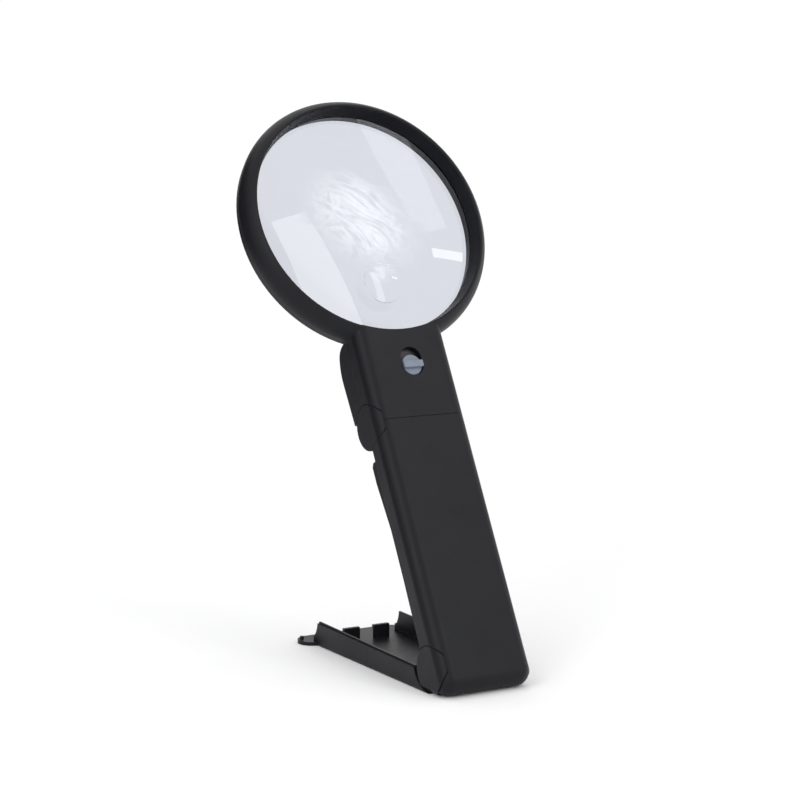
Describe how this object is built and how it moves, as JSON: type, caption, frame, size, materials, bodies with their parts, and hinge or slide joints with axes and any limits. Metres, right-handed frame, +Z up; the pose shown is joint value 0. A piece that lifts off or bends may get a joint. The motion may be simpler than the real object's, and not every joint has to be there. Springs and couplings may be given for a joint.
{
  "type": "hand lens",
  "caption": "Round hand lens with a light in its neck, a flat handle hinged to the head, and a handle cover that folds out as a table stand.",
  "frame": {"origin": "middle of the stand foot's underside, on the table", "axes": "+X across the handle, +Y to the rear under the leaning handle, +Z up"},
  "size_m": [0.1138, 0.1327, 0.2333],
  "materials": {
    "black_shell": "fine satin moulding, charcoal black",
    "black_inner": "slightly rougher moulding",
    "steel": "zinc-plated screws and pins",
    "cell_jacket": "printed shrink sleeve, plain grey",
    "spring_wire": "nickel-plated wire",
    "contact_metal": "stamped contact strip",
    "washer": "waxy natural nylon",
    "clear_lens": "polished clear acrylic",
    "window": "clear moulded window",
    "board": "white solder mask",
    "led_resin": "clear resin with a yellow die",
    "switch_metal": "folded steel can",
    "grey_button": "satin blue-grey moulding"
  },
  "bodies": {
    "handle": {"handle_front_shell": "black_shell", "battery_tray": "black_inner", "battery_door": "black_inner", "battery_door_screw": "steel", "tray_screws": "steel", "battery_left": "cell_jacket", "battery_middle": "cell_jacket", "battery_right": "cell_jacket", "battery_springs": "spring_wire", "contact_plates": "contact_metal", "upper_hinge_cap_left": "black_shell", "upper_hinge_cap_right": "black_shell", "lower_hinge_cap_left": "black_shell", "lower_hinge_cap_right": "black_shell", "upper_hinge_pin": "steel", "foot_hinge_pin": "steel", "upper_friction_washers": "washer", "lower_friction_washers": "washer"},
    "head": {"head_front_shell": "black_shell", "head_rear_shell": "black_shell", "lens": "clear_lens", "led_window": "window", "led_board": "board", "led_left": "led_resin", "led_right": "led_resin", "switch_housing": "switch_metal", "head_screws": "steel"},
    "switch_button": {"switch_button": "grey_button"},
    "foot": {"foot_shell": "black_shell"}
  },
  "joints": [
    {"name": "head_tilt", "type": "hinge", "parent": "handle", "child": "head", "pos_m": [0, -0.00355, 0.10112], "axis": [-1, 0, 0], "range_deg": [0, 62]},
    {"name": "foot_fold", "type": "hinge", "parent": "handle", "child": "foot", "pos_m": [0, -0.0497, 0.00878], "axis": [-1, 0, 0], "range_deg": [-50, 0]},
    {"name": "switch_slide", "type": "slide", "parent": "head", "child": "switch_button", "axis": [0, 0.4695, 0.8829], "range_m": [0, 0.003]}
  ]
}
